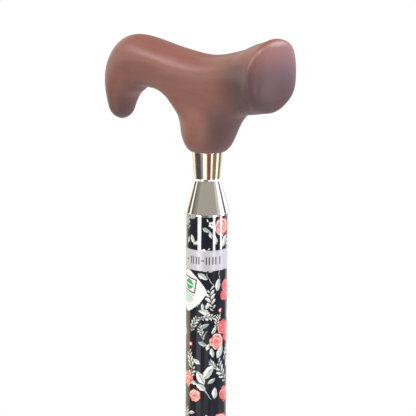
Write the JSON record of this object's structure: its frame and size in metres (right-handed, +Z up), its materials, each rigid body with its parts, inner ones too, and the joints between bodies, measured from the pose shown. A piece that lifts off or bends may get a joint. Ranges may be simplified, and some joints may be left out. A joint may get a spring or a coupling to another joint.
{
  "type": "single point cane",
  "caption": "Telescopic walking cane: carved hooked handle with a flared palm end on a waisted bright collar, floral printed tube, lock ring, snap button and rubber tip.",
  "frame": {"origin": "centre of the rubber tip's ground face, on the shaft's axis", "axes": "+Z up the shaft to the handle, +X towards the handle's flared palm end, -X towards its hook, height holes and button on the -Y side"},
  "size_m": [0.1165, 0.0402, 0.8525],
  "materials": {
    "handle_wood": "satin",
    "insert_brass": "satin",
    "plated_steel": "satin",
    "collar_nickel": "polished",
    "plug_aluminium": "satin",
    "printed_tube": "gloss",
    "label_film": "satin",
    "sticker_paper": "satin",
    "black_nylon": "satin",
    "white_nylon": "satin",
    "lock_plastic": "satin",
    "black_tube": "satin",
    "button_steel": "polished",
    "spring_steel": "satin",
    "tip_rubber": "matte"
  },
  "bodies": {
    "upper": {"handle": "handle_wood", "handle_insert": "insert_brass", "handle_bolt": "plated_steel", "bolt_washer": "plated_steel", "spring_washer": "plated_steel", "collar": "collar_nickel", "tube_plug": "plug_aluminium", "plug_pins": "plated_steel", "upper_tube": "printed_tube", "label_band": "label_film", "sticker": "sticker_paper", "thread_bush": "black_nylon", "bush_pins": "plated_steel"},
    "taper_ring": {"grip_ring": "white_nylon"},
    "lock": {"lock_ring": "lock_plastic"},
    "lower": {"lower_tube": "black_tube", "guide_bush": "white_nylon", "button_spring": "spring_steel", "ferrule": "tip_rubber", "ferrule_washer": "plated_steel"},
    "button": {"snap_button": "button_steel"}
  },
  "joints": [
    {"name": "height_adjust", "type": "slide", "parent": "upper", "child": "lower", "axis": [0, 0, -1], "range_m": [-0.075, 0.075]},
    {"name": "ring_advance", "type": "slide", "parent": "upper", "child": "taper_ring", "axis": [0, 0, -1], "range_m": [0, 0.00225]},
    {"name": "lock_ring_turn", "type": "hinge", "parent": "taper_ring", "child": "lock", "pos_m": [0, 0, 0.326], "axis": [0, 0, -1], "range_deg": [0, 270]},
    {"name": "button_press", "type": "slide", "parent": "lower", "child": "button", "axis": [0, 1, 0], "range_m": [0, 0.004], "stiffness_N_per_m": 1000, "springref_m": -0.002, "deforming": ["button_spring"]}
  ],
  "couplings": [
    {"joint": "lock_ring_turn", "follows": "ring_advance", "rad_per_m": 2094.4}
  ]
}
